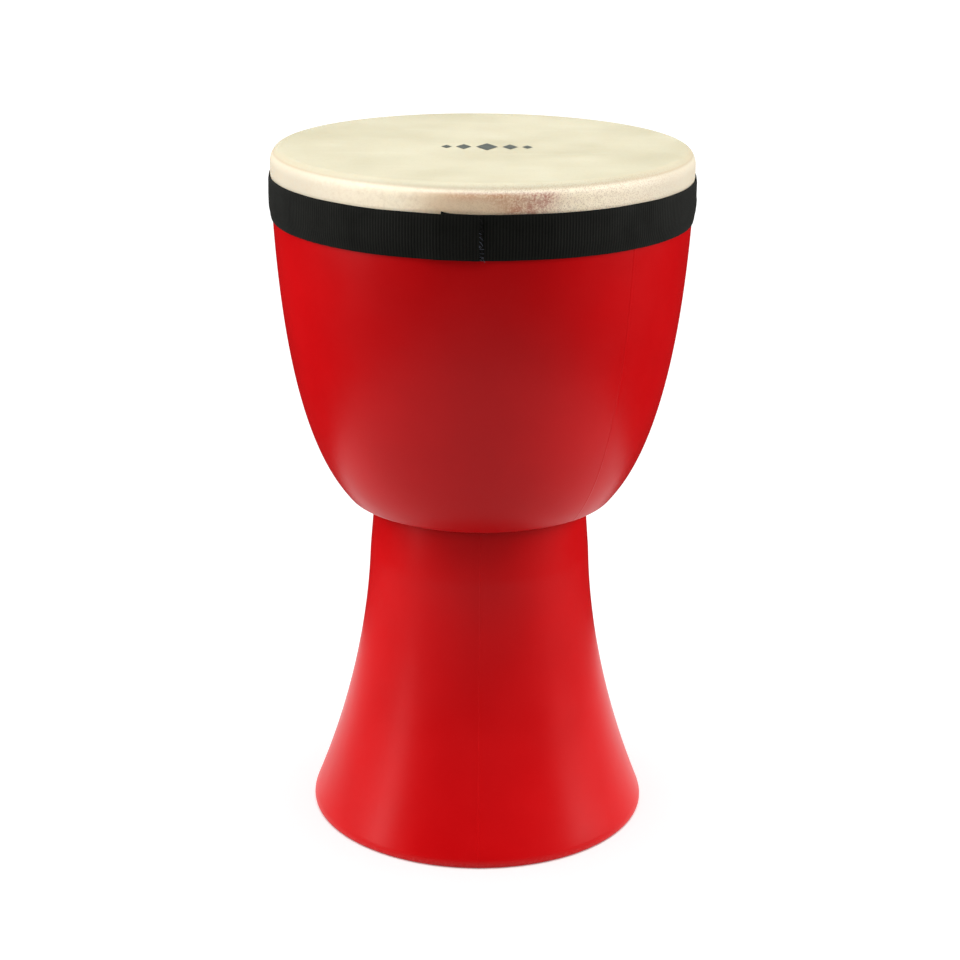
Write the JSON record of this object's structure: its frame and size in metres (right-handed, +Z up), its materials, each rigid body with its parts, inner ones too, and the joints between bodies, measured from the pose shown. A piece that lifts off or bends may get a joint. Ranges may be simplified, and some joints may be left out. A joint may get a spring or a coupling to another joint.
{
  "type": "djembe",
  "caption": "Small goblet-shaped hand drum with a moulded red shell, a tacked goatskin head and a black ribbon round the rim, on a flared open foot.",
  "frame": {"origin": "centre of the base circle, on the surface that the foot stands on", "axes": "+Z up along the drum's axis towards the playing skin; -Y towards the front, where the ribbon's ends overlap"},
  "size_m": [0.2134, 0.2144, 0.356],
  "materials": {
    "shell": "satin red moulded plastic with a fine texture and faint mould parting lines",
    "skin": "natural cream goatskin, matt, with mottling, pores and one reddish patch on the skirt",
    "ribbon": "black ribbed grosgrain webbing, matt, raw cut ends",
    "tack": "plain steel, flat heads, hidden under the ribbon",
    "screw": "zinc-plated steel, pan heads"
  },
  "bodies": {
    "root": {"bowl_shell": "shell", "foot_shell": "shell", "drumhead_skin": "skin", "head_ribbon": "ribbon", "skin_tack_01": "tack", "skin_tack_02": "tack", "skin_tack_03": "tack", "skin_tack_04": "tack", "skin_tack_05": "tack", "skin_tack_06": "tack", "skin_tack_07": "tack", "skin_tack_08": "tack", "skin_tack_09": "tack", "skin_tack_10": "tack", "skin_tack_11": "tack", "skin_tack_12": "tack", "skin_tack_13": "tack", "skin_tack_14": "tack", "skin_tack_15": "tack", "skin_tack_16": "tack", "skin_tack_17": "tack", "skin_tack_18": "tack", "skin_tack_19": "tack", "skin_tack_20": "tack", "skin_tack_21": "tack", "skin_tack_22": "tack", "skin_tack_23": "tack", "skin_tack_24": "tack", "neck_screw_1": "screw", "neck_screw_2": "screw", "neck_screw_3": "screw", "neck_screw_4": "screw", "neck_screw_5": "screw", "neck_screw_6": "screw"}
  },
  "joints": []
}
